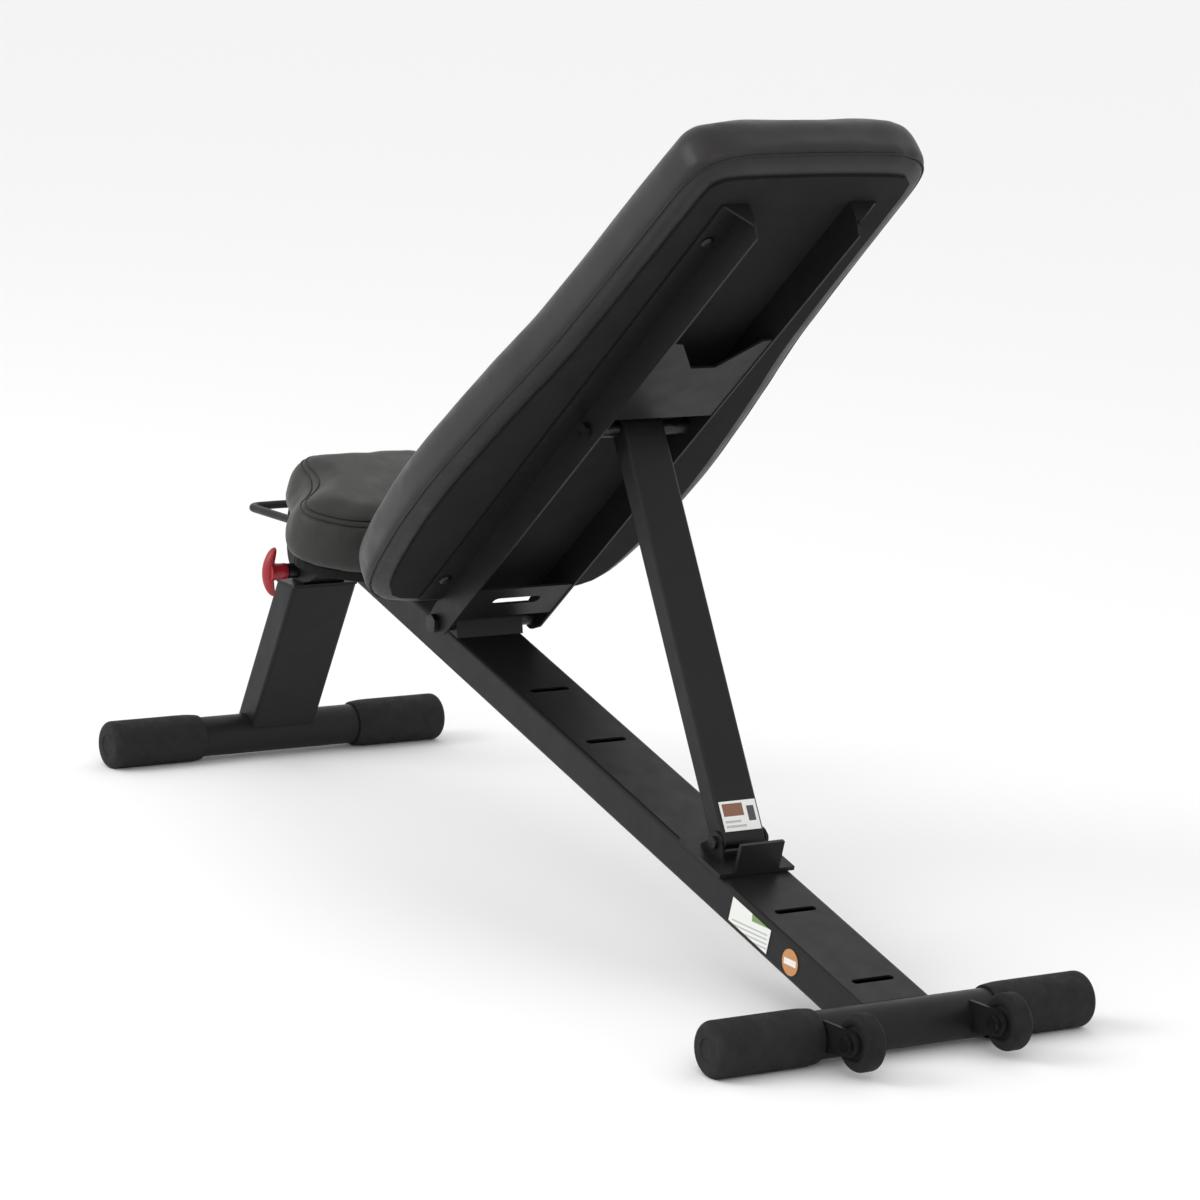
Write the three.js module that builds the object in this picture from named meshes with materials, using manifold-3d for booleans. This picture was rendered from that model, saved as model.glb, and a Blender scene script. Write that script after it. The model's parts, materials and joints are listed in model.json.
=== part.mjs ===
// Adjustable weight bench: a sloping main tube on two T feet, a back rest
// hinged on the tube and propped by a strut, a contoured seat, a fold-down
// front leg locked by a pull pin, and two transport wheels.
// Millimetres, +Z up, +X towards the rear foot, Y across. The bench is
// symmetric about Y = 0. Origin: middle of the footprint, on the floor.
import * as THREE from 'three';
import { mergeVertices } from 'three/addons/utils/BufferGeometryUtils.js';
import Module from 'manifold-3d';

const wasm = await Module();
wasm.setup();

// ---- driving dimensions --------------------------------------------------
const WHEELBASE = 1453;      // rear foot axis to front foot axis
const FOOT_LEN = 508;        // each foot bar with its sleeves
const SLEEVE_R = 32.2;       // rubber foot sleeve radius
const SLEEVE_LEN = 136;
const FOOT_TUBE_R = 27;
const TUBE_W = 96;           // main tube and leg tube width (Y)
const TUBE_D = 45;           // main tube and leg tube depth
const TUBE_WALL = 2.5;
const TUBE_TOP_Z0 = 54.3;    // main tube top face height above the rear foot axis
const TUBE_SLOPE = 0.25;     // rise of the main tube per unit run
const TUBE_SHORT = 117;      // front lower corner of the main tube, behind the front foot axis
const LEG_SLOPE = 0.47;      // front leg: run per unit rise
const LEG_BACK = 4;          // front leg rear face at floor level, behind the front foot axis
const HEAD_RISE = 54;        // fold pivot above the top of the leg tube
const BACK_ANGLE = 42.5;     // back rest above the horizontal, as stored
const BACK_X = -600;         // a point of the back board plane
const BACK_Z = 616.2;
const HINGE_S = -449;        // back hinge, along and below the board plane
const HINGE_N = 20;
const STRUT_S = -6;          // strut pivot, along and below the board plane
const STRUT_N = 21;
const STRUT_W = 58;
const STRUT_D = 29;
const STRUT_FOOT_X = -336;   // where the strut axis meets its saddle
const RAIL_Y = 71;           // outer face of each rail web
const RAIL_H = 42;
const RAIL_T = 3;
const RAIL_FLANGE = 33;
const SCREW_OUT = 18;        // board screws out from the rail web's outer face
const RAIL_TOP_S = 425;
const BACK_PAD_T = 78;
const SEAT_PAD_T = 88;
const WHEEL_R = 32.5;
const WHEEL_W = 26;
const WHEEL_X = 67;
const WHEEL_IN = 19;         // wheel centre inside the inner end of its sleeve
const SLOTS_X = [-756, -622, -336, -209, -54];
const PIVOT_UNDER = 27.72;   // fold pivot straight below the main tube's underside
const PIN_DROP = 36;         // pull pin below the fold pivot, along the leg
const GAP = 0.4;             // clearance between neighbouring solids
const FLAT = 9;              // half width of the flat under each sleeve

// ---- derived places ------------------------------------------------------
const TUBE_END_X = WHEELBASE - TUBE_SHORT;
const WHEEL_Y = FOOT_LEN / 2 - SLEEVE_LEN - WHEEL_IN;
const X_MID = ((-WHEELBASE - SLEEVE_R) + (WHEEL_X + WHEEL_R)) / 2;
const topZ = (x) => TUBE_TOP_Z0 - TUBE_SLOPE * x;
const tubeLen = Math.hypot(1, TUBE_SLOPE);
const T_DIR = [-1 / tubeLen, TUBE_SLOPE / tubeLen];      // up the tube, to the front
const T_NRM = [TUBE_SLOPE / tubeLen, 1 / tubeLen];       // out of its top face
const onTube = (x, h) => [x + T_NRM[0] * h, topZ(x) + T_NRM[1] * h];
const ba = BACK_ANGLE * Math.PI / 180;
const B_U = [Math.cos(ba), Math.sin(ba)];
const B_N = [Math.sin(ba), -Math.cos(ba)];
const onBack = (s, n) => [BACK_X + B_U[0] * s + B_N[0] * n, BACK_Z + B_U[1] * s + B_N[1] * n];
const HINGE = onBack(HINGE_S, HINGE_N);
const STRUT_P = onBack(STRUT_S, STRUT_N);
const PLATE_T = 5;
const SADDLE_LIFT = 0.8;
const STRUT_F = onTube(STRUT_FOOT_X, SADDLE_LIFT + PLATE_T + 15);
const legLen = Math.hypot(1, LEG_SLOPE);
const L_DIR = [-LEG_SLOPE / legLen, -1 / legLen];        // down the leg
const LEG_REAR_X0 = LEG_BACK - WHEELBASE;
const legAxisX = (z) => LEG_REAR_X0 - TUBE_D / 2 * legLen + LEG_SLOPE * z;
// the pivot is where the leg axis meets a line that far under the main tube
const PIVOT_Z = (topZ(legAxisX(0)) - TUBE_D * tubeLen - PIVOT_UNDER) / (1 + TUBE_SLOPE * LEG_SLOPE);
const PIVOT = [legAxisX(PIVOT_Z), PIVOT_Z];
const LEG_TOP_Z = PIVOT_Z - HEAD_RISE;
const PIN = [PIVOT[0] + L_DIR[0] * PIN_DROP, PIVOT[1] + L_DIR[1] * PIN_DROP];

// ---- materials -----------------------------------------------------------
const mat = (c, r, m) => new THREE.MeshStandardMaterial({ color: c, roughness: r, metalness: m });
const PAINT = mat(0x17171a, 0.42, 0.35);
const VINYL = mat(0x26242a, 0.42, 0);
const SEATV = mat(0x2d2f2c, 0.45, 0);
const BACKING = mat(0x191b1a, 0.85, 0);
const RUBBER = mat(0x1d1e20, 0.75, 0);
const BOLT = mat(0x2a2b2e, 0.35, 0.8);
const RED = mat(0xa5202b, 0.4, 0);
const PLASTIC = mat(0x141416, 0.5, 0);
const LABEL = mat(0xe6e6e2, 0.5, 0);
const BADGE = mat(0xc8813e, 0.5, 0);

// ---- solid helpers -------------------------------------------------------
function solid(geo) {
  const g = geo.clone();
  g.deleteAttribute('normal');
  g.deleteAttribute('uv');
  const m = mergeVertices(g.index ? g : g, 1e-4);
  const idx = m.index ? m.index.array : Uint32Array.from({ length: m.attributes.position.count }, (_, i) => i);
  return new wasm.Manifold(new wasm.Mesh({
    numProp: 3,
    vertProperties: Float32Array.from(m.attributes.position.array),
    triVerts: Uint32Array.from(idx),
  }));
}
function geometry(man) {
  const mesh = man.getMesh();
  const g = new THREE.BufferGeometry();
  g.setAttribute('position', new THREE.BufferAttribute(Float32Array.from(mesh.vertProperties), 3));
  g.setIndex(new THREE.BufferAttribute(Uint32Array.from(mesh.triVerts), 1));
  g.computeVertexNormals();
  return g;
}
const cut = (a, ...bs) => geometry(bs.reduce((m, b) => m.subtract(solid(b)), solid(a)));
const join = (a, ...bs) => geometry(bs.reduce((m, b) => m.add(solid(b)), solid(a)));

// prism: polygon [x, z] points swept from y0 to y1
function prism(pts, y0, y1, holes = []) {
  const shape = new THREE.Shape(pts.map(([x, z]) => new THREE.Vector2(x, z)));
  for (const h of holes) shape.holes.push(new THREE.Path(h.map(([x, z]) => new THREE.Vector2(x, z))));
  const g = new THREE.ExtrudeGeometry(shape, { depth: y1 - y0, bevelEnabled: false, curveSegments: 8 });
  g.rotateX(Math.PI / 2);
  g.translate(0, y1, 0);
  return g;
}
function disc(cx, cz, r, n = 24, a0 = 0, a1 = 2 * Math.PI) {
  const full = Math.abs(a1 - a0 - 2 * Math.PI) < 1e-6;
  const k = full ? n : n + 1;
  return Array.from({ length: k }, (_, i) => {
    const a = a0 + (a1 - a0) * i / n;
    return [cx + r * Math.cos(a), cz + r * Math.sin(a)];
  });
}
// round bar along Y
function bar(cx, cz, r, y0, y1, n = 20) {
  const g = new THREE.CylinderGeometry(r, r, y1 - y0, n);
  g.translate(cx, (y0 + y1) / 2, cz);
  return g;
}
function roundedRect(w, h, r, n = 3) {
  const out = [];
  for (const [sx, sy, a] of [[1, 1, 0], [-1, 1, 90], [-1, -1, 180], [1, -1, 270]]) {
    for (let i = 0; i <= n; i++) {
      const t = (a + 90 * i / n) * Math.PI / 180;
      out.push([sx * (w / 2 - r) + r * Math.cos(t), sy * (h / 2 - r) + r * Math.sin(t)]);
    }
  }
  return out;
}
// rectangular tube from a to b in the XZ plane; w across Y, d in the plane
function boxTube(a, b, w, d, wall, r = 5) {
  const len = Math.hypot(b[0] - a[0], b[1] - a[1]);
  const shape = new THREE.Shape(roundedRect(w, d, r).map(([x, y]) => new THREE.Vector2(x, y)));
  if (wall > 0) {
    const inner = roundedRect(w - 2 * wall, d - 2 * wall, Math.max(r - wall, 1));
    shape.holes.push(new THREE.Path(inner.map(([x, y]) => new THREE.Vector2(x, y))));
  }
  const g = new THREE.ExtrudeGeometry(shape, { depth: len, bevelEnabled: false });
  const z = new THREE.Vector3((b[0] - a[0]) / len, 0, (b[1] - a[1]) / len);
  const x = new THREE.Vector3(0, 1, 0);
  const y = new THREE.Vector3().crossVectors(z, x);
  const m = new THREE.Matrix4().makeBasis(x, y, z).setPosition(a[0], 0, a[1]);
  g.applyMatrix4(m);
  return g;
}
// closed loft through rings of equal length, capped with fans
function loft(rings, c0, c1) {
  const n = rings[0].length;
  const pos = [];
  for (const r of rings) for (const p of r) pos.push(...p);
  const i0 = pos.length / 3; pos.push(...c0);
  const i1 = pos.length / 3; pos.push(...c1);
  const idx = [];
  for (let k = 0; k + 1 < rings.length; k++) {
    for (let i = 0; i < n; i++) {
      const a = k * n + i, b = k * n + (i + 1) % n, c = a + n, d = b + n;
      idx.push(a, b, d, a, d, c);
    }
  }
  const last = (rings.length - 1) * n;
  for (let i = 0; i < n; i++) {
    idx.push(i0, (i + 1) % n, i);
    idx.push(i1, last + i, last + (i + 1) % n);
  }
  const g = new THREE.BufferGeometry();
  g.setAttribute('position', new THREE.Float32BufferAttribute(pos, 3));
  g.setIndex(idx);
  if (solid(g).volume() < 0) g.setIndex(idx.reverse());
  g.computeVertexNormals();
  return g;
}

const root = new THREE.Group();
root.position.x = -X_MID;
root.position.z = -(SLEEVE_R - Math.sqrt(SLEEVE_R ** 2 - FLAT ** 2));
const names = new Set();
function add(name, geo, material) {
  if (names.has(name)) throw new Error('two meshes named ' + name);
  names.add(name);
  const mesh = new THREE.Mesh(geo, material);
  mesh.name = name;
  root.add(mesh);
}

// ---- frame: main tube ----------------------------------------------------
const tubeRear = onTube(0, -TUBE_D / 2);
const tubeRun = TUBE_END_X * tubeLen + 5;
const tubeEnd = [tubeRear[0] + T_DIR[0] * tubeRun, tubeRear[1] + T_DIR[1] * tubeRun];
function slotCutter(x) {
  const [cx, cz] = onTube(x, -TUBE_WALL);
  const shape = new THREE.Shape(roundedRect(56, 9.5, 4.7, 4).map(([a, b]) => new THREE.Vector2(a, b)));
  const g = new THREE.ExtrudeGeometry(shape, { depth: 10, bevelEnabled: false });
  const z = new THREE.Vector3(T_NRM[0], 0, T_NRM[1]);
  const y = new THREE.Vector3(0, 1, 0);
  const m = new THREE.Matrix4().makeBasis(y, new THREE.Vector3().crossVectors(z, y), z);
  g.applyMatrix4(m.setPosition(cx - z.x * 4, 0, cz - z.z * 4));
  return g;
}
add('main_tube', cut(
  boxTube(tubeRear, tubeEnd, TUBE_W, TUBE_D, TUBE_WALL),
  bar(0, SLEEVE_R, FOOT_TUBE_R + GAP, -TUBE_W, TUBE_W, 40),
  ...SLOTS_X.map(slotCutter),
), PAINT);
{
  const p = [tubeEnd[0] + T_DIR[0] * GAP, tubeEnd[1] + T_DIR[1] * GAP];
  const q = [p[0] + T_DIR[0] * 3, p[1] + T_DIR[1] * 3];
  add('main_tube_cap', boxTube(p, q, TUBE_W, TUBE_D, 0), PLASTIC);
}

// ---- feet ----------------------------------------------------------------
function foot(prefix, cx) {
  const half = FOOT_LEN / 2;
  add(prefix + '_foot_tube', bar(cx, SLEEVE_R, FOOT_TUBE_R, -half + 12, half - 12, 30), PAINT);
  for (const [side, s] of [['left', -1], ['right', 1]]) {
    const r = SLEEVE_R, e = 9;
    const inner = half - SLEEVE_LEN;
    const prof = [[FOOT_TUBE_R + GAP, inner], [r - 1.2, inner], [r - 0.6, inner + 3], [r, inner + 14],
      [r, half - e], [r - 1.2, half - 4.5], [r - 4, half - 1.4], [r - 9, half], [0, half],
      [0, half - 12 + GAP], [FOOT_TUBE_R + GAP, half - 12 + GAP], [FOOT_TUBE_R + GAP, inner]];
    const pts = prof.map(([a, b]) => new THREE.Vector2(a, b));
    const g = new THREE.LatheGeometry(pts, 30);
    if (s < 0) g.rotateX(Math.PI);
    g.translate(cx, 0, SLEEVE_R);
    const sagitta = SLEEVE_R - Math.sqrt(SLEEVE_R ** 2 - FLAT ** 2);
    const below = new THREE.BoxGeometry(90, SLEEVE_LEN + 20, 20);
    below.translate(cx, s * (half - SLEEVE_LEN / 2), sagitta - 10);
    add(`${prefix}_sleeve_${side}`, cut(g, below), RUBBER);
  }
}
foot('rear', 0);
foot('front', -WHEELBASE);

// ---- transport wheels ----------------------------------------------------
const AXLE_Z = 42;
for (const [side, s] of [['left', -1], ['right', 1]]) {
  const cy = s * WHEEL_Y;
  const hw = WHEEL_W / 2;
  const tread = [[5.6, -hw], [21, -hw], [23, -hw + 2], [WHEEL_R - 6, -hw + 1.5], [WHEEL_R - 2, -hw + 5],
    [WHEEL_R, 0], [WHEEL_R - 2, hw - 5], [WHEEL_R - 6, hw - 1.5], [23, hw - 2],
    [21, hw], [5.6, hw], [5.6, -hw]].map(([a, b]) => new THREE.Vector2(a, b));
  const g = new THREE.LatheGeometry(tread, 26);
  g.translate(WHEEL_X, cy, AXLE_Z);
  add(`wheel_${side}`, g, RUBBER);
  // a plate on the left side of each wheel, from the foot tube to a round nose
  const y1 = cy - hw - 0.8, y0 = y1 - 4;
  const plate = prism([[10, SLEEVE_R - 14], ...disc(WHEEL_X, AXLE_Z, 15, 14, -Math.PI / 2, Math.PI / 2),
    [12, SLEEVE_R + 22]], y0, y1);
  add(`wheel_bracket_${side}`, cut(plate, bar(0, SLEEVE_R, FOOT_TUBE_R + GAP, y0 - 5, y1 + 5, 40),
    bar(WHEEL_X, AXLE_Z, 5.4, y0 - 5, y1 + 5, 20)), PAINT);
  add(`wheel_bolt_${side}`, join(bar(WHEEL_X, AXLE_Z, 5, y0 - 2, cy + hw + 4, 20),
    bar(WHEEL_X, AXLE_Z, 9.5, y0 - GAP - 6, y0 - GAP, 6)), BOLT);
  add(`wheel_nut_${side}`, cut(bar(WHEEL_X, AXLE_Z, 9, cy + hw + 1.2, cy + hw + 8, 6),
    bar(WHEEL_X, AXLE_Z, 5.3, cy, cy + hw + 4.4, 20)), BOLT);
}

// ---- front leg, fold bracket and pull pin --------------------------------
const legTop = [legAxisX(LEG_TOP_Z + 40), LEG_TOP_Z + 40];
const legBase = [legAxisX(SLEEVE_R), SLEEVE_R];
{
  const above = new THREE.BoxGeometry(300, 200, 100);
  above.translate(legTop[0], 0, LEG_TOP_Z + 50);
  add('leg_tube', cut(boxTube(legTop, legBase, TUBE_W, TUBE_D, TUBE_WALL), above,
    bar(-WHEELBASE, SLEEVE_R, FOOT_TUBE_R + GAP, -TUBE_W, TUBE_W, 40)), PAINT);
}
const HEAD_HALF = 31;                       // half width of the leg head
const CHEEK_IN = 33;                        // inside face of the bracket cheeks
const CHEEK_T = 4;
{
  // narrow leg head: closes the leg tube with a plate and rises to the pivot
  const a = Math.atan2(L_DIR[1], L_DIR[0]);
  const headPts = [...disc(PIVOT[0], PIVOT[1], 16, 14, a + Math.PI / 2, a + 3 * Math.PI / 2)];
  const low = [PIVOT[0] + L_DIR[0] * 53, PIVOT[1] + L_DIR[1] * 53];
  const side = [-L_DIR[1], L_DIR[0]];
  headPts.push([low[0] - side[0] * 17, LEG_TOP_Z + 2], [low[0] + side[0] * 17, LEG_TOP_Z + 2]);
  const hull = prism(orderRound(headPts), -HEAD_HALF, HEAD_HALF);
  const rear = LEG_REAR_X0 + LEG_SLOPE * LEG_TOP_Z, front = rear - TUBE_D * legLen;
  const capPts = [[front, LEG_TOP_Z + GAP], [rear, LEG_TOP_Z + GAP], [rear, LEG_TOP_Z + 4], [front, LEG_TOP_Z + 4]];
  const cap = prism(capPts, -TUBE_W / 2, TUBE_W / 2);
  add('leg_head', cut(join(hull, cap), bar(PIVOT[0], PIVOT[1], 6.4, -80, 80, 20),
    bar(PIN[0], PIN[1], 5.6, -80, 0, 20)), PAINT);
}
function orderRound(pts) {
  const c = pts.reduce((m, p) => [m[0] + p[0] / pts.length, m[1] + p[1] / pts.length], [0, 0]);
  return [...pts].sort((p, q) => Math.atan2(p[1] - c[1], p[0] - c[0]) - Math.atan2(q[1] - c[1], q[0] - c[0]));
}
{
  const under = (x) => { const p = onTube(x, -TUBE_D - GAP); return p; };
  const x0 = PIVOT[0] - 12, x1 = PIVOT[0] + 52;
  const pts = orderRound([under(x0 + 8), under(x1), ...disc(PIVOT[0], PIVOT[1], 45, 22,
    Math.PI * 1.03, Math.PI * 1.93)]);
  const top = prism([under(x0 + 8), under(x1), onTube(x1, -TUBE_D - GAP - 4), onTube(x0 + 8, -TUBE_D - GAP - 4)],
    -CHEEK_IN - CHEEK_T, CHEEK_IN + CHEEK_T);
  const body = join(prism(pts, -CHEEK_IN - CHEEK_T, -CHEEK_IN), prism(pts, CHEEK_IN, CHEEK_IN + CHEEK_T), top);
  add('fold_bracket', cut(body, bar(PIVOT[0], PIVOT[1], 6.4, -80, 80, 20),
    bar(PIN[0], PIN[1], 5.6, -80, 0, 20)), PAINT);
}
{
  const out = CHEEK_IN + CHEEK_T;
  add('fold_bolt', join(bar(PIVOT[0], PIVOT[1], 6, -out - 2, out + 9, 20),
    bar(PIVOT[0], PIVOT[1], 10.5, -out - GAP - 7, -out - GAP, 6)), BOLT);
  add('fold_nut', cut(bar(PIVOT[0], PIVOT[1], 10.5, out + GAP, out + 9.5, 6),
    bar(PIVOT[0], PIVOT[1], 6.3, out - 1, out + 9.2, 20)), BOLT);
  // pull pin: barrel fixed on the cheek, sprung shaft and T handle
  add('pin_barrel', cut(bar(PIN[0], PIN[1], 10, -out - 15, -out - GAP, 24),
    bar(PIN[0], PIN[1], 5.6, -out - 30, -out + 5, 20)), BOLT);
  const tip = -CHEEK_IN;
  add('pin_shaft', bar(PIN[0], PIN[1], 5.1, -out - 30, tip, 20), BOLT);
  // T handle: a short round neck and an upright crescent grip
  const y0 = -out - 16, yg = -out - 44;
  const grip = [];
  const R = 70, halfH = 33;
  for (let i = 0; i <= 12; i++) {
    const z = -halfH + 2 * halfH * i / 12;
    grip.push([yg - 7 + (R - Math.sqrt(R * R - z * z)), z]);
  }
  for (let i = 12; i >= 0; i--) {
    const z = (-halfH + 2 * halfH * i / 12) * 0.93;
    const f = z / halfH;
    grip.push([yg + 9 - 5 * f * f + (R - Math.sqrt(R * R - z * z)) * 0.75, z]);
  }
  const shape = new THREE.Shape(grip.map(([y, z]) => new THREE.Vector2(y, z)));
  const g = new THREE.ExtrudeGeometry(shape, { depth: 12, bevelEnabled: true, bevelThickness: 2,
    bevelSize: 2, bevelOffset: -2, bevelSegments: 2 });
  // shape (y, z) extruded along X
  const m = new THREE.Matrix4().makeBasis(new THREE.Vector3(0, 1, 0), new THREE.Vector3(0, 0, 1),
    new THREE.Vector3(1, 0, 0));
  g.applyMatrix4(m.setPosition(PIN[0] - 6, 0, PIN[1]));
  add('pin_handle', cut(join(bar(PIN[0], PIN[1], 11, yg - 1, y0, 24), g),
    bar(PIN[0], PIN[1], 5.4, -out - 30.4, 0, 20)), RED);
}
{
  // bent rod handle ahead of the seat, its ends along the sides of the main tube
  const y = TUBE_W / 2 + 5.5 + GAP;
  const xb = 34 - TUBE_END_X, xf = xb - 150, zb = topZ(xb) - 27.8, zf = zb - 6;
  const P = (a, b, c) => new THREE.Vector3(a, b, c);
  const path = new THREE.CurvePath();
  const rc = 20;
  path.add(new THREE.LineCurve3(P(xb, -y, zb), P(xf + rc, -y, zf)));
  path.add(new THREE.QuadraticBezierCurve3(P(xf + rc, -y, zf), P(xf, -y, zf), P(xf - 1, -y + rc, zf)));
  path.add(new THREE.QuadraticBezierCurve3(P(xf - 1, -y + rc, zf), P(xf - 6, 0, zf), P(xf - 1, y - rc, zf)));
  path.add(new THREE.QuadraticBezierCurve3(P(xf - 1, y - rc, zf), P(xf, y, zf), P(xf + rc, y, zf)));
  path.add(new THREE.LineCurve3(P(xf + rc, y, zf), P(xb, y, zb)));
  const pts = [];
  for (const [i, c] of path.curves.entries()) {
    const n = i % 2 ? 6 : (i === 2 ? 6 : 3);
    for (let k = i ? 1 : 0; k <= n; k++) pts.push(c.getPoint(k / n));
  }
  const ring = new THREE.Shape(disc(0, 0, 5.5, 10).map(([a, b]) => new THREE.Vector2(a, b)));
  const curve = new THREE.CatmullRomCurve3(pts, false, 'centripetal');
  const g = new THREE.ExtrudeGeometry(ring, { steps: 30, extrudePath: curve, bevelEnabled: false });
  add('front_handle', g, PAINT);
}

// ---- back hinge ----------------------------------------------------------
{
  const half = TUBE_W / 2;
  const foot0 = onTube(HINGE[0] - 16, GAP), foot1 = onTube(HINGE[0] + 16, GAP);
  const blk = prism([foot0, foot1, ...disc(HINGE[0], HINGE[1], 12.5, 16, 0, Math.PI)], -half, half);
  add('hinge_barrel', cut(blk, bar(HINGE[0], HINGE[1], 7.4, -60, 60, 22)), PAINT);
  add('hinge_bolt', join(bar(HINGE[0], HINGE[1], 7, -RAIL_Y - 3, RAIL_Y + 10, 22),
    bar(HINGE[0], HINGE[1], 12, -RAIL_Y - GAP - 7.5, -RAIL_Y - GAP, 6)), BOLT);
  add('hinge_nut', cut(bar(HINGE[0], HINGE[1], 12, RAIL_Y + GAP, RAIL_Y + 10.6, 6),
    bar(HINGE[0], HINGE[1], 7.3, RAIL_Y - 2, RAIL_Y + 10.3, 22)), BOLT);
  for (const [side, s] of [['left', -1], ['right', 1]]) {
    const a = half + GAP, b = RAIL_Y - RAIL_T - GAP;
    add(`hinge_spacer_${side}`, cut(bar(HINGE[0], HINGE[1], 11, Math.min(s * a, s * b), Math.max(s * a, s * b), 24),
      bar(HINGE[0], HINGE[1], 7.4, -90, 90, 22)), BOLT);
  }
}

// ---- back rest -----------------------------------------------------------
const web = (pts) => pts.map(([s, n]) => onBack(s, n));
const webShape = [[-436, GAP], [RAIL_TOP_S, GAP], [RAIL_TOP_S, 22], [RAIL_TOP_S - 8, RAIL_H],
  [-440, RAIL_H], ...disc(HINGE_S, HINGE_N, 17, 12, Math.PI / 2 + 0.25, 3 * Math.PI / 2 - 0.35)];
for (const [side, s] of [['left', -1], ['right', 1]]) {
  const y = (a, b) => [Math.min(s * a, s * b), Math.max(s * a, s * b)];
  const w = prism(web(webShape), ...y(RAIL_Y - RAIL_T, RAIL_Y));
  const f = prism(web([[-418, GAP], [RAIL_TOP_S, GAP], [RAIL_TOP_S, RAIL_T + GAP], [-418, RAIL_T + GAP]]),
    ...y(RAIL_Y - 1, RAIL_Y + RAIL_FLANGE));
  // triangular end gusset closing the angle at its top end
  const gus = new THREE.Shape([[RAIL_Y - 1, GAP], [RAIL_Y + RAIL_FLANGE, GAP], [RAIL_Y - 1, 30]]
    .map(([a, b]) => new THREE.Vector2(-s * a, b)));
  const gg = new THREE.ExtrudeGeometry(gus, { depth: 3, bevelEnabled: false });
  const o = onBack(RAIL_TOP_S - 3, 0);
  gg.applyMatrix4(new THREE.Matrix4().makeBasis(new THREE.Vector3(0, -1, 0),
    new THREE.Vector3(B_N[0], 0, B_N[1]), new THREE.Vector3(B_U[0], 0, B_U[1])).setPosition(o[0], 0, o[1]));
  const ggs = solid(gg);
  const rail = solid(w).add(solid(f)).add(ggs);
  const holes = [[HINGE, 7.4], [STRUT_P, 6.4]].map(([p, r]) => solid(bar(p[0], p[1], r, -100, 100, 22)));
  add(`rail_${side}`, geometry(holes.reduce((m, h) => m.subtract(h), rail)), PAINT);
}
// plates across the rails, lying in the plane of their free edges
function crossPlate(outline, hole) {
  const shape = new THREE.Shape(outline.map(([s, y]) => new THREE.Vector2(s, y)));
  if (hole) shape.holes.push(new THREE.Path(hole.map(([s, y]) => new THREE.Vector2(s, y))));
  const g = new THREE.ExtrudeGeometry(shape, { depth: RAIL_T, bevelEnabled: false });
  const o = onBack(0, RAIL_H - RAIL_T - 1);
  g.applyMatrix4(new THREE.Matrix4().makeBasis(new THREE.Vector3(B_U[0], 0, B_U[1]),
    new THREE.Vector3(0, -1, 0), new THREE.Vector3(B_N[0], 0, B_N[1])).setPosition(o[0], 0, o[1]));
  return g;
}
const py = RAIL_Y - RAIL_T - GAP;
add('upper_cross_plate', mirrorSafe(crossPlate([[48, -py], [207, -py], [205, -55], [153, -17], [153, 17],
  [205, 55], [207, py], [48, py]])), PAINT);
add('lower_cross_plate', mirrorSafe(crossPlate([[-405, -py], [-338, -py], [-338, py], [-405, py]],
  roundedRect(15, 68, 7, 4).map(([a, b]) => [a - 368, b]))), PAINT);
function mirrorSafe(g) { return geometry(solid(g)); }

// strut pivot bolt with its nut and the two bushes beside the strut
{
  const [x, z] = STRUT_P;
  add('strut_bolt', join(bar(x, z, 6, -RAIL_Y - 2, RAIL_Y + 9, 20),
    bar(x, z, 10.5, -RAIL_Y - GAP - 7, -RAIL_Y - GAP, 6)), BOLT);
  add('strut_nut', cut(bar(x, z, 10.5, RAIL_Y + GAP, RAIL_Y + 9.5, 6), bar(x, z, 6.3, RAIL_Y - 2, RAIL_Y + 9.2, 20)), BOLT);
  for (const [side, s] of [['left', -1], ['right', 1]]) {
    const a = STRUT_W / 2 + 1, b = RAIL_Y - RAIL_T - GAP;
    add(`strut_bush_${side}`, cut(bar(x, z, 9, Math.min(s * a, s * b), Math.max(s * a, s * b), 24),
      bar(x, z, 6.4, -90, 90, 20)), BOLT);
  }
}
// screws through the flanges into the board
for (const [k, s0] of [[1, 358], [2, -368]]) {
  for (const [side, s] of [['left', -1], ['right', 1]]) {
    const o = onBack(s0, RAIL_T + 2 * GAP);
    const g = new THREE.LatheGeometry([[0, 0], [8, 0], [8, 1.6], [5.5, 4], [0, 4.6]]
      .map(([a, b]) => new THREE.Vector2(a, b)), 16);
    g.applyMatrix4(new THREE.Matrix4().makeBasis(new THREE.Vector3(0, -1, 0),
      new THREE.Vector3(B_N[0], 0, B_N[1]), new THREE.Vector3(B_U[0], 0, B_U[1]))
      .setPosition(o[0], s * (RAIL_Y + SCREW_OUT), o[1]));
    add(`board_screw_${side}_${k}`, g, BOLT);
  }
}

// padded outlines: half widths along the length, closed by symmetry
function outline(stations, n) {
  const half = new THREE.CatmullRomCurve3(stations.map(([a, w]) => new THREE.Vector3(a, w, 0)), false, 'centripetal');
  const pts = half.getSpacedPoints(n).map((p) => [p.x, Math.max(p.y, 0)]);
  const back = pts.slice(1, -1).reverse().map(([a, w]) => [a, -w]);
  return [...pts, ...back];
}
function inset(pts, d) {
  const n = pts.length;
  return pts.map((p, i) => {
    const a = pts[(i + n - 1) % n], b = pts[(i + 1) % n];
    const t = [b[0] - a[0], b[1] - a[1]];
    const l = Math.hypot(...t) || 1;
    return [p[0] - t[1] / l * d, p[1] + t[0] / l * d];
  });
}
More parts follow.
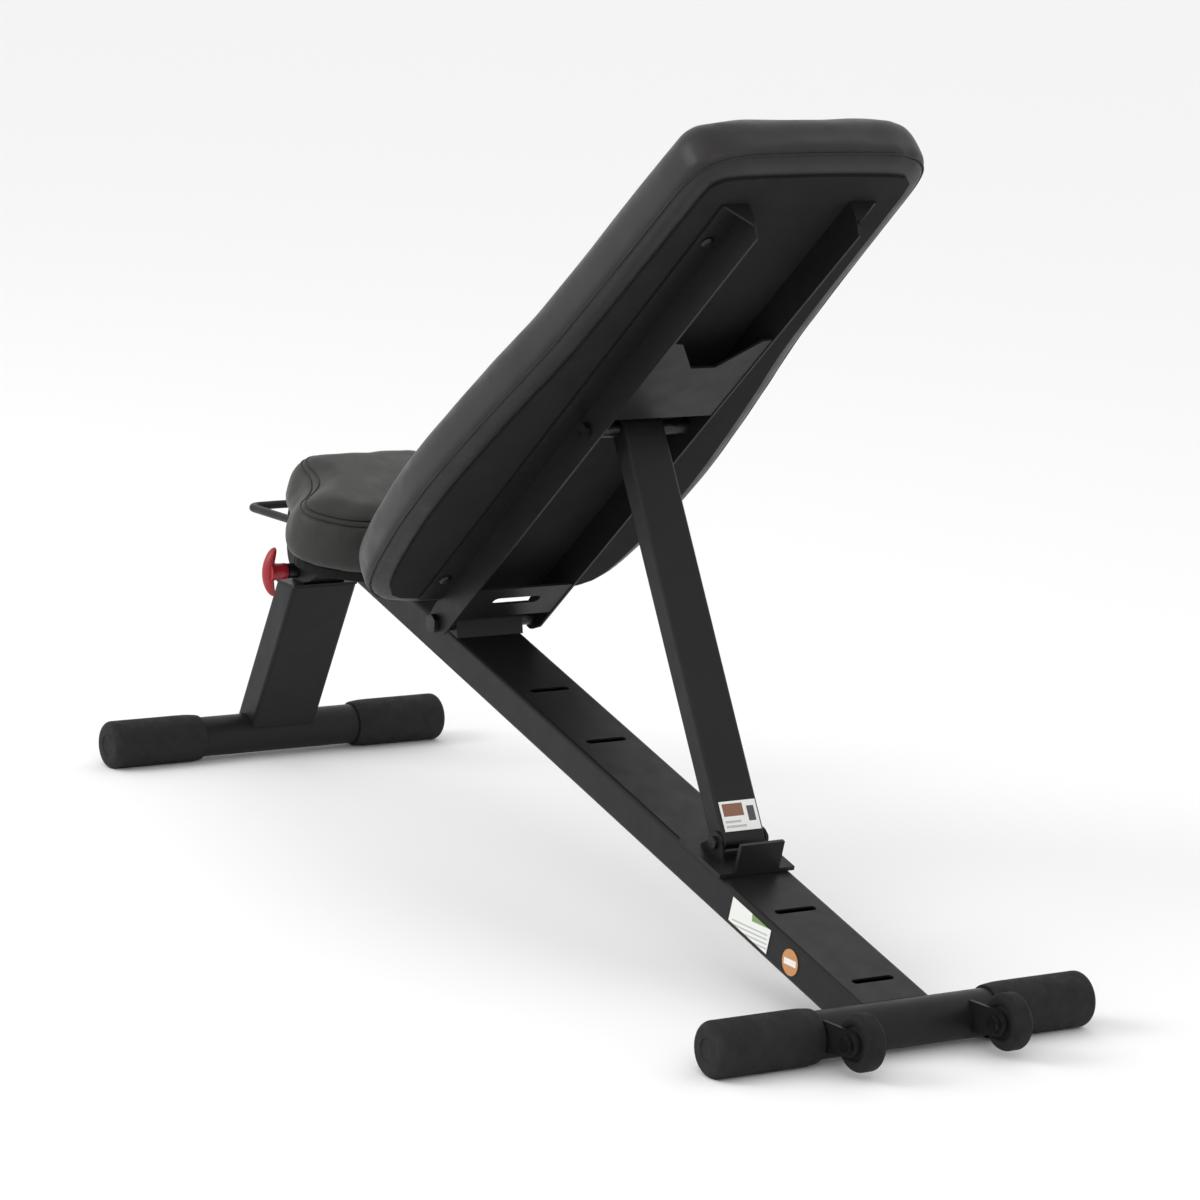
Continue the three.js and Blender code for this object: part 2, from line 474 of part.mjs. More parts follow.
// the outline runs clockwise from its front end, so a positive inset shrinks it
const BACK_PTS = outline([[507, 0], [506, 60], [504, 105], [496, 140], [477, 161], [445, 169], [400, 171],
  [306, 174], [208, 177], [106, 183], [30, 193], [-60, 202], [-150, 209], [-225, 210], [-300, 205],
  [-363, 197], [-402, 187], [-430, 170], [-446, 145], [-453, 105], [-456, 50], [-456, 0]], 36);
const SEAT_PTS = outline([[-1042, 0], [-1044, 50], [-1053, 98], [-1070, 136], [-1094, 164], [-1122, 175],
  [-1147, 169], [-1169, 153], [-1194, 134], [-1222, 120], [-1250, 112], [-1272, 103], [-1286, 85],
  [-1292, 55], [-1294, 0]], 28);
function padLoft(pts, place, layers, crown) {
  const mid = pts.reduce((m, p) => m + p[0] / pts.length, 0);
  const shrink = Math.sign(area(pts));
  const rings = layers.map(([h, d]) => inset(pts, shrink * d).map(([a, y]) => place(a, y, h)));
  const hTop = layers[layers.length - 1][0] + crown;
  return loft(rings, place(mid, 0, layers[0][0]), place(mid, 0, hTop));
}
function area(pts) {
  return pts.reduce((m, p, i) => { const q = pts[(i + 1) % pts.length]; return m + (p[0] * q[1] - q[0] * p[1]) / 2; }, 0);
}
const onBack3 = (s, y, h) => { const p = onBack(s, -h); return [p[0], y, p[1]]; };
const onSeat3 = (a, y, h) => { const p = onTube(a, h); return [p[0], y, p[1]]; };
add('back_board', padLoft(BACK_PTS, onBack3, [[0, 34], [3, 34]], 0), BACKING);
add('back_pad', padLoft(BACK_PTS, onBack3, [[3.4, 22], [10, 7], [24, 0], [52, 0], [68, 6], [BACK_PAD_T, 24]], 2), VINYL);
add('seat_board', padLoft(SEAT_PTS, onSeat3, [[GAP, 16], [12, 16]], 0), BACKING);
add('seat_pad', padLoft(SEAT_PTS, onSeat3, [[12.4, 12], [20, 3], [32, 0], [60, 1], [78, 8], [SEAT_PAD_T, 24]], 2), SEATV);

// ---- strut and saddle ----------------------------------------------------
const sdx = STRUT_F[0] - STRUT_P[0], sdz = STRUT_F[1] - STRUT_P[1];
const sl = Math.hypot(sdx, sdz);
const S_DIR = [sdx / sl, sdz / sl];
{
  // both ends are rounded about their pins, so the strut can swing
  const at = (p, k) => [p[0] + S_DIR[0] * k, p[1] + S_DIR[1] * k];
  const r = STRUT_D / 2;
  let man = solid(boxTube(at(STRUT_P, -r), at(STRUT_F, r), STRUT_W, STRUT_D, 2, 4));
  for (const [p, k] of [[STRUT_P, -1], [STRUT_F, 1]]) {
    const q = [S_DIR[1] * 40, -S_DIR[0] * 40];
    const e = at(p, k * 40);
    const pts = [[p[0] + q[0], p[1] + q[1]], [p[0] - q[0], p[1] - q[1]], [e[0] - q[0], e[1] - q[1]], [e[0] + q[0], e[1] + q[1]]];
    const blk = solid(prism(orderRound(pts), -60, 60)).subtract(solid(bar(p[0], p[1], r, -70, 70, 28)));
    man = man.subtract(blk);
  }
  for (const [p, h] of [[STRUT_P, 6.4], [STRUT_F, 5.5]]) man = man.subtract(solid(bar(p[0], p[1], h, -60, 60, 20)));
  add('strut_tube', geometry(man), PAINT);
}
{
  const inY = STRUT_W / 2 + 1, outY = inY + 3;
  const b0 = STRUT_FOOT_X - 40, b1 = STRUT_FOOT_X + 46;
  const lo = SADDLE_LIFT, hi = SADDLE_LIFT + PLATE_T;
  const base = prism([onTube(b0, lo), onTube(b1, lo), onTube(b1, hi), onTube(b0, hi)], -52, 52);
  const lip = prism([onTube(b1 - PLATE_T, lo), onTube(b1, lo), onTube(b1, 41), onTube(b1 - PLATE_T, 41)], -30, 30);
  const [cx, cz] = STRUT_F;
  const ear = (y0, y1) => prism([onTube(STRUT_FOOT_X - 26, hi - 1), onTube(STRUT_FOOT_X + 24, hi - 1),
    ...disc(cx, cz, 13, 10, 0, Math.PI)], y0, y1);
  const body = join(base, lip, ear(-outY, -inY), ear(inY, outY));
  add('saddle', cut(body, bar(cx, cz, 5.5, -60, 60, 20)), PAINT);
  add('saddle_pin', join(bar(cx, cz, 5, -outY - GAP - 1, outY + GAP + 1, 20),
    bar(cx, cz, 7.5, -outY - GAP - 4, -outY - GAP, 20), bar(cx, cz, 7.5, outY + GAP, outY + GAP + 4, 20)), BOLT);
}

// ---- stickers: thin plain plates -----------------------------------------
{
  const tube = (x0, x1, h0, h1) => [onTube(x0, h0), onTube(x1, h0), onTube(x1, h1), onTube(x0, h1)];
  const ys = -TUBE_W / 2 - GAP;
  add('tube_label', prism(tube(-262, -184, -TUBE_D + 8, -7), ys - 0.5, ys), LABEL);
  const [cx, cz] = onTube(-140, -TUBE_D / 2);
  add('tube_badge', prism(disc(cx, cz, 15.5, 28), ys - 0.5, ys), BADGE);
  const q = [S_DIR[1], -S_DIR[0]];
  const sgn = q[0] > 0 ? 1 : -1;
  const pt = (t, h) => [STRUT_F[0] - S_DIR[0] * t + sgn * q[0] * h, STRUT_F[1] - S_DIR[1] * t + sgn * q[1] * h];
  const h0 = STRUT_D / 2 + GAP;
  add('strut_label', prism([pt(7, h0), pt(43, h0), pt(43, h0 + 0.5), pt(7, h0 + 0.5)], -25, 25), LABEL);
}

export default root;
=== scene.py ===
# %% [markdown]
# Adjustable weight bench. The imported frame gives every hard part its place.
# This script adds the fine round parts, the padded covers with their seams,
# the surface finishes, and a plain studio.

# %% Load the frame
import json
import math
import bmesh
import bpy
from mathutils import Matrix, Vector
from mathutils.bvhtree import BVHTree
from mathutils.kdtree import KDTree


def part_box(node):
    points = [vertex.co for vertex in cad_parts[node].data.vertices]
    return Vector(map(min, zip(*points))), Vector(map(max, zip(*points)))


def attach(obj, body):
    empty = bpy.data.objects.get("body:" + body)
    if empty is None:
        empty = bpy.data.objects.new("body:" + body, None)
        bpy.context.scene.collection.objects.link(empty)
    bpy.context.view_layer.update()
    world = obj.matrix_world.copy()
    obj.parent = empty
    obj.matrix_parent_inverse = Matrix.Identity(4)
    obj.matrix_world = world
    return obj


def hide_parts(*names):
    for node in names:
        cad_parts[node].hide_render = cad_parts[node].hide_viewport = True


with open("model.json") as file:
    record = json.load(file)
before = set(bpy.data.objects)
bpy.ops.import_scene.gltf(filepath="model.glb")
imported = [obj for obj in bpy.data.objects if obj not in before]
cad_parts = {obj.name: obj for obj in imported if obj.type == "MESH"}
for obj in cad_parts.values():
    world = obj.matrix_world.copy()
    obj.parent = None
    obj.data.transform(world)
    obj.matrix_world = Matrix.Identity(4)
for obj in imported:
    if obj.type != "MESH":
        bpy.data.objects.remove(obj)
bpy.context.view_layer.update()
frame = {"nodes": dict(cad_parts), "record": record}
NODES = frame["nodes"]
BODY = {n: b for b, names in frame["record"]["behaviour"]["bodies"].items() for n in names}


# %% [markdown]
# ## Materials
# The bench is powder-coated steel, pebbled vinyl, rubber, blackened bolts and
# one red grip. Pictures of such surfaces would need unwrapping, so each finish
# is a few noises instead. Every pattern reads Object coordinates, so it stays
# on its piece. Scales are per metre: vinyl grain near 1.5 mm, powder coat
# ripple near 1 mm. Gloss comes from roughness, and colour stays very dark.

# %% Material helpers
def material(name, rough=0.5, metallic=0.0, spec=0.5):
    m = bpy.data.materials.new(name)
    m.use_nodes = True
    nt = m.node_tree
    b = nt.nodes["Principled BSDF"]
    b.inputs["Roughness"].default_value = rough
    b.inputs["Metallic"].default_value = metallic
    b.inputs["Specular IOR Level"].default_value = spec
    return m, nt, b


def place(nt, scale=(1, 1, 1)):
    c = nt.nodes.new("ShaderNodeTexCoord")
    m = nt.nodes.new("ShaderNodeMapping")
    m.inputs["Scale"].default_value = scale
    nt.links.new(c.outputs["Object"], m.inputs["Vector"])
    return m.outputs["Vector"]


def noise(nt, vec, scale, detail=4.0, rough=0.55):
    n = nt.nodes.new("ShaderNodeTexNoise")
    n.inputs["Scale"].default_value = scale
    n.inputs["Detail"].default_value = detail
    n.inputs["Roughness"].default_value = rough
    nt.links.new(vec, n.inputs["Vector"])
    return n.outputs["Fac"]


def cells(nt, vec, scale, feature="DISTANCE_TO_EDGE"):
    n = nt.nodes.new("ShaderNodeTexVoronoi")
    n.feature = feature
    n.inputs["Scale"].default_value = scale
    nt.links.new(vec, n.inputs["Vector"])
    return n.outputs["Distance"]


def spread(nt, fac, lo, hi, a=0.3, b=0.7):
    r = nt.nodes.new("ShaderNodeMapRange")
    for k, v in (("From Min", a), ("From Max", b), ("To Min", lo), ("To Max", hi)):
        r.inputs[k].default_value = v
    nt.links.new(fac, r.inputs["Value"])
    return r.outputs["Result"]


def colours(nt, fac, stops):
    r = nt.nodes.new("ShaderNodeValToRGB")
    els = r.color_ramp.elements
    while len(els) < len(stops):
        els.new(0.5)
    for e, (pos, col) in zip(els, stops):
        e.position = pos
        e.color = (*col, 1.0)
    nt.links.new(fac, r.inputs["Fac"])
    return r.outputs["Color"]


def bump(nt, bsdf, height, strength, distance, below=None):
    b = nt.nodes.new("ShaderNodeBump")
    b.inputs["Strength"].default_value = strength
    b.inputs["Distance"].default_value = distance
    nt.links.new(height, b.inputs["Height"])
    if below is not None:
        nt.links.new(below, b.inputs["Normal"])
    nt.links.new(b.outputs["Normal"], bsdf.inputs["Normal"])
    return b.outputs["Normal"]


# %% Powder coat: satin black with a fine ripple and soft, randomly placed paler patches
def powder_coat():
    m, nt, b = material("black powder coat", 0.4, 0.0, 0.2)
    v = place(nt)
    tone = noise(nt, v, 9.0, 5.0)
    stops = [(0.3, (0.0088, 0.0078, 0.0084)), (0.72, (0.0112, 0.01, 0.0107))]
    nt.links.new(colours(nt, tone, stops), b.inputs["Base Color"])
    nt.links.new(spread(nt, noise(nt, v, 38.0, 6.0), 0.38, 0.48), b.inputs["Roughness"])
    n = bump(nt, b, noise(nt, v, 900.0, 2.0), 0.22, 0.0003)
    bump(nt, b, noise(nt, v, 60.0, 3.0), 0.06, 0.0012, n)
    return m


# %% Upholstery vinyl: pebbled grain, soft mottling, a low sheen
def vinyl(name, dark, pale, rough=0.43):
    m, nt, b = material(name, rough, 0.0, 0.26)
    v = place(nt)
    mott = noise(nt, v, 14.0, 6.0, 0.6)
    nt.links.new(colours(nt, mott, [(0.28, dark), (0.75, pale)]), b.inputs["Base Color"])
    nt.links.new(spread(nt, noise(nt, v, 30.0, 5.0), rough - 0.06, rough + 0.08), b.inputs["Roughness"])
    b.inputs["Sheen Weight"].default_value = 0.03
    b.inputs["Sheen Roughness"].default_value = 0.5
    b.inputs["Coat Weight"].default_value = 0.03
    b.inputs["Coat Roughness"].default_value = 0.3
    warp = nt.nodes.new("ShaderNodeVectorMath")
    warp.operation = "ADD"
    fine = nt.nodes.new("ShaderNodeTexNoise")
    fine.inputs["Scale"].default_value = 260.0
    nt.links.new(v, fine.inputs["Vector"])
    half = nt.nodes.new("ShaderNodeVectorMath")
    half.operation = "SCALE"
    half.inputs["Scale"].default_value = 0.0016
    nt.links.new(fine.outputs["Color"], half.inputs[0])
    nt.links.new(v, warp.inputs[0])
    nt.links.new(half.outputs["Vector"], warp.inputs[1])
    grain = cells(nt, warp.outputs["Vector"], 620.0)
    n = bump(nt, b, grain, 0.35, 0.0004)
    bump(nt, b, noise(nt, v, 26.0, 4.0), 0.1, 0.003, n)
    return m


def backing():
    m, nt, b = material("woven backing", 0.9, 0.0, 0.25)
    v = place(nt)
    fleck = noise(nt, v, 22.0, 6.0)
    stops = [(0.3, (0.0068, 0.0065, 0.007)), (0.7, (0.0108, 0.0102, 0.0108))]
    nt.links.new(colours(nt, fleck, stops), b.inputs["Base Color"])
    a = nt.nodes.new("ShaderNodeTexWave")
    a.inputs["Scale"].default_value = 260.0
    a.bands_direction = "Y"
    nt.links.new(v, a.inputs["Vector"])
    n = bump(nt, b, a.outputs["Fac"], 0.25, 0.0003)
    bump(nt, b, noise(nt, v, 700.0, 2.0), 0.3, 0.0004, n)
    return m


def rubber(name, dark, pale, pebble=900.0):
    m, nt, b = material(name, 0.72, 0.0, 0.22)
    v = place(nt)
    nt.links.new(colours(nt, noise(nt, v, 34.0, 6.0), [(0.3, dark), (0.72, pale)]), b.inputs["Base Color"])
    nt.links.new(spread(nt, noise(nt, v, 70.0, 4.0), 0.62, 0.85), b.inputs["Roughness"])
    n = bump(nt, b, cells(nt, v, pebble, "F1"), 0.35, 0.0005)
    bump(nt, b, noise(nt, v, 1500.0, 2.0), 0.25, 0.0003, n)
    return m


def steel():
    m, nt, b = material("blackened steel", 0.34, 0.85, 0.5)
    v = place(nt)
    tarnish = noise(nt, v, 120.0, 4.0)
    stops = [(0.3, (0.018, 0.018, 0.02)), (0.7, (0.042, 0.042, 0.045))]
    nt.links.new(colours(nt, tarnish, stops), b.inputs["Base Color"])
    nt.links.new(spread(nt, noise(nt, v, 300.0, 3.0), 0.26, 0.46), b.inputs["Roughness"])
    bump(nt, b, noise(nt, v, 800.0, 2.0), 0.12, 0.0002)
    return m


def red_plastic():
    m, nt, b = material("red moulded grip", 0.38, 0.0, 0.5)
    v = place(nt)
    swirl = noise(nt, v, 60.0, 4.0)
    stops = [(0.25, (0.27, 0.008, 0.014)), (0.75, (0.34, 0.012, 0.02))]
    nt.links.new(colours(nt, swirl, stops), b.inputs["Base Color"])
    nt.links.new(spread(nt, noise(nt, v, 150.0, 3.0), 0.33, 0.45), b.inputs["Roughness"])
    bump(nt, b, noise(nt, v, 1200.0, 2.0), 0.15, 0.0002)
    return m


# a sticker: pale ground with plain blocks and bars, no lettering
def sticker(name, node_name, ground, blocks, across):
    lo, hi = (Vector(p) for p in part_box(node_name))
    m, nt, b = material(name, 0.4, 0.0, 0.5)
    c = nt.nodes.new("ShaderNodeTexCoord")
    sep = nt.nodes.new("ShaderNodeSeparateXYZ")
    nt.links.new(c.outputs["Object"], sep.inputs[0])

    def axis(k):
        r = nt.nodes.new("ShaderNodeMapRange")
        i = "XYZ".index(k)
        r.inputs["From Min"].default_value = lo[i]
        r.inputs["From Max"].default_value = hi[i]
        nt.links.new(sep.outputs[k], r.inputs["Value"])
        return r.outputs["Result"]

    def math_node(operation, first, second):
        n = nt.nodes.new("ShaderNodeMath")
        n.operation = operation
        for socket, value in zip(n.inputs, (first, second)):
            if isinstance(value, float):
                socket.default_value = value
            else:
                nt.links.new(value, socket)
        return n.outputs[0]

    u, w = axis(across[0]), axis(across[1])

    def inside(x, a, bb):
        past = math_node("GREATER_THAN", x, a)
        short = math_node("LESS_THAN", x, bb)
        return math_node("MULTIPLY", past, short)

    col = nt.nodes.new("ShaderNodeRGB")
    col.outputs[0].default_value = (*ground, 1)
    out = col.outputs[0]
    for (u0, u1, w0, w1), rgb in blocks:
        patch = math_node("MULTIPLY", inside(u, u0, u1), inside(w, w0, w1))
        mix = nt.nodes.new("ShaderNodeMix")
        mix.data_type = "RGBA"
        nt.links.new(patch, mix.inputs["Factor"])
        nt.links.new(out, mix.inputs[6])
        mix.inputs[7].default_value = (*rgb, 1)
        out = mix.outputs[2]
    nt.links.new(out, b.inputs["Base Color"])
    nt.links.new(spread(nt, noise(nt, place(nt), 90.0, 3.0), 0.34, 0.5), b.inputs["Roughness"])
    return m


PAINT = powder_coat()
BACK_VINYL = vinyl("back vinyl", (0.0125, 0.0108, 0.0116), (0.0185, 0.0162, 0.017), 0.42)
# The seat vinyl is a lighter copy of the back vinyl: painted light, standing for the sky light that falls
# on the seat's upward face.
SEAT_VINYL_PAINTED_LIGHT = vinyl("seat vinyl with painted light", (0.0195, 0.02, 0.018), (0.0285, 0.029, 0.0265), 0.5)
STITCH = vinyl("seam welt", (0.0085, 0.0078, 0.0082), (0.0125, 0.0115, 0.012), 0.5)
BACKING = backing()
FOOT_RUBBER = rubber("foot rubber", (0.0115, 0.0112, 0.012), (0.0145, 0.0142, 0.0152))
WHEEL_RUBBER = rubber("wheel rubber", (0.0068, 0.0068, 0.0075), (0.0095, 0.0095, 0.0105), 1300.0)
STEEL = steel()
RED = red_plastic()
CAP = rubber("moulded cap", (0.008, 0.008, 0.008), (0.014, 0.014, 0.014), 1500.0)
GREY = (0.42, 0.43, 0.42)
LINES = [((0.08, 0.92, 0.1 + 0.11 * k, 0.14 + 0.11 * k), GREY) for k in range(4)]
print(len(bpy.data.materials), "finishes")


# %% [markdown]
# ## Kept parts
# Bent sheet, square tube and fasteners are flat-faced on the real bench, and
# their solids are already right. They could be modelled again with finer
# corners. A Bevel modifier is enough: it leaves the solid alone and gives the
# paint an edge radius that catches light. Painted pieces have the larger one.

# %% Finish the kept nodes
STEEL_WORDS = ("bolt", "nut", "screw", "bush", "spacer", "saddle_pin", "pin_barrel", "pin_shaft")
WORN_EDGE = 0.0011
CRISP_EDGE = 0.0006


def finish_for(name):
    if "foot_tube" in name or name in ("main_tube", "leg_tube", "leg_head", "strut_tube", "saddle"):
        return PAINT
    if any(word in name for word in STEEL_WORDS):
        return STEEL
    if "board" in name:
        return BACKING
    if name == "main_tube_cap":
        return CAP
    return PAINT


for name, ob in NODES.items():
    ob.data.materials.clear()
    ob.data.materials.append(finish_for(name))
    if name.endswith("_label") or name == "tube_badge":
        continue
    if "board" in name and "screw" not in name:
        continue
    bev = ob.modifiers.new("edge radius", "BEVEL")
    bev.width = WORN_EDGE if finish_for(name) is PAINT else CRISP_EDGE
    bev.segments = 2
    bev.limit_method = "ANGLE"
    bev.angle_limit = math.radians(40)
    bev.use_clamp_overlap = True

NODES["tube_label"].data.materials[0] = sticker(
    "tube sticker", "tube_label", (0.72, 0.73, 0.7),
    [((0.55, 0.95, 0.62, 0.86), (0.16, 0.26, 0.08))] + LINES, "XZ")
NODES["tube_badge"].data.materials[0] = sticker(
    "round sticker", "tube_badge", (0.5, 0.22, 0.07), [((0.12, 0.88, 0.38, 0.62), (0.75, 0.74, 0.7))], "XZ")
NODES["strut_label"].data.materials[0] = sticker(
    "strut sticker", "strut_label", (0.72, 0.72, 0.7),
    [((0.06, 0.62, 0.5, 0.92), (0.2, 0.085, 0.05)), ((0.06, 0.62, 0.12, 0.2), GREY),
     ((0.06, 0.5, 0.28, 0.36), GREY), ((0.72, 0.92, 0.3, 0.8), (0.05, 0.05, 0.055))], "YZ")


# %% [markdown]
# ## Round parts
# The foot bars, their rubber sleeves and the wheels are turned or moulded
# round. A cylinder with bevels could serve for the bars, but a sleeve swells
# and a wheel has a recessed side. So each is a half profile, spun once round
# the Y axis with 96 steps, which reads as round at arm's length.

# %% Spin helpers
def settle(bm, name, mat, body, smooth=True, flat_angle=40):
    bmesh.ops.remove_doubles(bm, verts=bm.verts, dist=1e-6)
    bmesh.ops.recalc_face_normals(bm, faces=bm.faces)
    me = bpy.data.meshes.new(name)
    bm.to_mesh(me)
    bm.free()
    ob = bpy.data.objects.new(name, me)
    bpy.context.scene.collection.objects.link(ob)
    me.materials.append(mat)
    if smooth:
        for p in me.polygons:
            p.use_smooth = True
        me.set_sharp_from_angle(angle=math.radians(flat_angle))
    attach(ob, body)
    return ob


def spun(profile, centre, steps=96, side=1.0, floor=None):
    """profile: (radius, y) pairs. An edge that would lie on the Y axis is left out."""
    bm = bmesh.new()
    vs = [bm.verts.new((r, side * y, 0)) for r, y in profile]
    es = []
    for i, a in enumerate(vs):
        b = vs[(i + 1) % len(vs)]
        if a.co.x > 0 or b.co.x > 0:
            es.append(bm.edges.new((a, b)))
    bmesh.ops.spin(bm, geom=vs + es, cent=(0, 0, 0), axis=(0, 1, 0), angle=2 * math.pi,
                   steps=steps, use_duplicate=False)
    bmesh.ops.remove_doubles(bm, verts=bm.verts, dist=1e-5)
    bmesh.ops.translate(bm, verts=bm.verts, vec=centre)
    if floor is not None:
        for v in bm.verts:
            v.co.z = max(v.co.z, floor)
    return bm


def arc(cx, cy, r, a0, a1, n=6):
    return [(cx + r * math.cos(math.radians(a0 + (a1 - a0) * i / n)),
             cy + r * math.sin(math.radians(a0 + (a1 - a0) * i / n))) for i in range(n + 1)]


# %% Foot tubes and sleeves
for end in ("rear", "front"):
    lo, hi = (Vector(p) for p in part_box(end + "_foot_tube"))
    c = (lo + hi) / 2
    body = BODY[end + "_foot_tube"]
    r, h = (hi.x - lo.x) / 2, (hi.y - lo.y) / 2
    lip = 0.002
    prof = ([(0, -h)] + arc(r - lip, -h + lip, lip, -90, 0, 4)
            + arc(r - lip, h - lip, lip, 0, 90, 4) + [(0, h)])
    tube = settle(spun(prof, c), end + "_foot_bar", PAINT, body)
    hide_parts(end + "_foot_tube")
    for side in ("left", "right"):
        n = f"{end}_sleeve_{side}"
        slo, shi = (Vector(p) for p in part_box(n))
        out = max(abs(slo.y), abs(shi.y))
        inn = min(abs(slo.y), abs(shi.y))
        R = (shi.x - slo.x) / 2
        prof = ([(r + 0.0003, inn)] + arc(R - 0.0034, inn + 0.0016, 0.0016, -90, 0, 4)
                + [(R - 0.0012, inn + 0.006), (R - 0.0002, inn + 0.016)]
                + [(R, inn + 0.03), (R, (inn + out) / 2)]
                + arc(R - 0.009, out - 0.009, 0.009, 0, 90, 8)
                + [(R * 0.45, out), (R * 0.42, out - 0.0012), (0, out - 0.0012)]
                + [(0, out - 0.0114), (r + 0.0003, out - 0.0114)])
        prof = list(reversed(prof))
        away = -1.0 if side == "left" else 1.0
        bm = spun(prof, Vector((c.x, 0, c.z)), side=away, floor=slo.z)
        sl = settle(bm, f"{end}_grip_{side}", FOOT_RUBBER, body)
        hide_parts(n)
    print(end, "foot bar, radius", round(r * 1000, 1), "mm")

# %% Wheels: crowned tread, recessed side walls, hub boss
for side in ("left", "right"):
    n = "wheel_" + side
    lo, hi = (Vector(p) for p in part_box(n))
    c = (lo + hi) / 2
    R, h = (hi.x - lo.x) / 2, (hi.y - lo.y) / 2
    half = [(0.0056, -h), (0.0105, -h), (0.0112, -h + 0.0022), (0.0185, -h + 0.003), (0.0205, -h + 0.001),
            (0.0225, -h + 0.0006)] + arc(R - 0.0075, -h + 0.008, 0.0075, -80, -8, 8)
    prof = half + [(R, 0.0)] + [(a, -b) for a, b in reversed(half)]
    w = settle(spun(prof, c), "transport_wheel_" + side, WHEEL_RUBBER, n)
    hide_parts(n)
    print(side, "wheel, radius", round(R * 1000, 1), "mm")


# %% [markdown]
# ## Swept wire
# The front handle is a round bar bent at two corners. A curve with a bevel
# depth would do, but it would have to be turned into a mesh before it is
# placed. A small sweep that carries its own frame round each bend gives the
# mesh at once, and the seam welts use it again.

# %% Swept bars: the bent front handle and the seam welts use the same sweep
def sweep(points, radius, sides=12, closed=False):
    pts = [Vector(p) for p in points]
    n = len(pts)
    bm = bmesh.new()
    rings = []
    t0 = None
    nrm = None
    for i, p in enumerate(pts):
        a = pts[(i - 1) % n] if (closed or i > 0) else p
        b = pts[(i + 1) % n] if (closed or i < n - 1) else p
        t = (b - a).normalized()
        if nrm is None:
            ref = Vector((0, 0, 1)) if abs(t.z) < 0.9 else Vector((1, 0, 0))
            nrm = t.cross(ref).normalized()
        else:
            nrm = (nrm - t * nrm.dot(t)).normalized()
        bi = t.cross(nrm)
        rings.append([bm.verts.new(p + (nrm * math.cos(k * 2 * math.pi / sides)
                                        + bi * math.sin(k * 2 * math.pi / sides)) * radius)
                      for k in range(sides)])
    m = n if closed else n - 1
    for i in range(m):
        a, b = rings[i], rings[(i + 1) % n]
        for k in range(sides):
            bm.faces.new((a[k], a[(k + 1) % sides], b[(k + 1) % sides], b[k]))
    if not closed:
        bm.faces.new(list(reversed(rings[0])))
        bm.faces.new(rings[-1])
    return bm


def rounded_path(corners, radii, n=10):
    out = [Vector(corners[0])]
    for i in range(1, len(corners) - 1):
        a, b, c = (Vector(corners[i + k]) for k in (-1, 0, 1))
        r = radii[i]
        u, w = (a - b).normalized(), (c - b).normalized()
        ang = u.angle(w)
        d = r / math.tan(ang / 2)
        s, e = b + u * d, b + w * d
        centre = b + (u + w).normalized() * (r / math.sin(ang / 2))
        q0, q1 = s - centre, e - centre
        total = q0.angle(q1)
        axis = q0.cross(q1).normalized()
        for k in range(n + 1):
            out.append(centre + Matrix.Rotation(total * k / n, 3, axis) @ q0)
    out.append(Vector(corners[-1]))
    return out


# %% Bent front handle
lo, hi = (Vector(p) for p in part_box("front_handle"))
rod = 0.0055
y = hi.y - rod
zb, zf = hi.z - rod - 0.0002, lo.z + rod + 0.0002
xb, xf = hi.x - 0.0002, lo.x + rod + 0.001
corners = [(xb, -y, zb), (xf + 0.004, -y, zf), (xf, 0, zf), (xf + 0.004, y, zf), (xb, y, zb)]
path = rounded_path(corners, [0, 0.018, 0.25, 0.018, 0])
handle = settle(sweep(path, rod, 20), "bent_handle", PAINT, BODY["front_handle"])
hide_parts("front_handle")
print("front handle:", len(path), "points along the wire")


# %% [markdown]
# ## The pull-pin grip
# The real grip is one red moulding: a round neck that ends in an upright
# crescent. Two primitives joined by a boolean would leave a hard crease. So
# the crescent is built of rings that narrow to its tips, and the neck is spun
# so that it flares where it meets the crescent.

# %% Red T grip: a round neck flowing into an upright crescent
lo, hi = (Vector(p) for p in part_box("pin_handle"))
c = (lo + hi) / 2
bm = bmesh.new()
rows, sides = 28, 24
top, tip_y = (hi.z - lo.z) / 2, lo.y
rings = []
for i in range(rows + 1):
    t = -1 + 2 * i / rows
    tt = math.sin(t * math.pi / 2)
    z = c.z + tt * (top - 0.0001)
    bow = 0.0085 * tt * tt
    depth = 0.0078 * (1 - 0.42 * tt * tt) * math.sqrt(max(1 - tt ** 8, 0.02))
    wide = 0.0085 * (1 - 0.2 * tt * tt) * math.sqrt(max(1 - tt ** 8, 0.02))
    yc = tip_y + 0.0079 + bow
    rings.append([bm.verts.new((c.x + wide * math.cos(2 * math.pi * k / sides),
                                yc + depth * math.sin(2 * math.pi * k / sides), z)) for k in range(sides)])
for i in range(rows):
    for k in range(sides):
        j = (k + 1) % sides
        bm.faces.new((rings[i][k], rings[i][j], rings[i + 1][j], rings[i + 1][k]))
bm.faces.new(list(reversed(rings[0])))
bm.faces.new(rings[-1])
grip = settle(bm, "t_grip_bar", RED, BODY["pin_handle"], True, 60)
neck_r = 0.0108
end_y = hi.y
prof = [(0, tip_y + 0.006), (0.0148, tip_y + 0.008), (0.0128, tip_y + 0.0125), (0.0113, tip_y + 0.018),
        (neck_r, tip_y + 0.024), (neck_r, end_y - 0.0015), (neck_r - 0.0015, end_y),
        (0.0054, end_y), (0, end_y)]
neck = settle(spun(prof, Vector((c.x, 0, c.z)), steps=48), "t_grip_neck", RED, BODY["pin_handle"], True, 50)
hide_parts("pin_handle")
print("grip:", len(grip.data.polygons) + len(neck.data.polygons), "faces")


# %% [markdown]
# ## Padded covers
# On the real bench vinyl is pulled over foam and stapled under the board. A
# subdivided box would look hard, and sculpting by hand would not repeat. Here
# the pad's solid is remeshed, blown up as cloth with its underside held, and
# limited to a few millimetres. Smoothing takes out the small waves. Seams are
# pressed in and their welts are laid on afterwards.

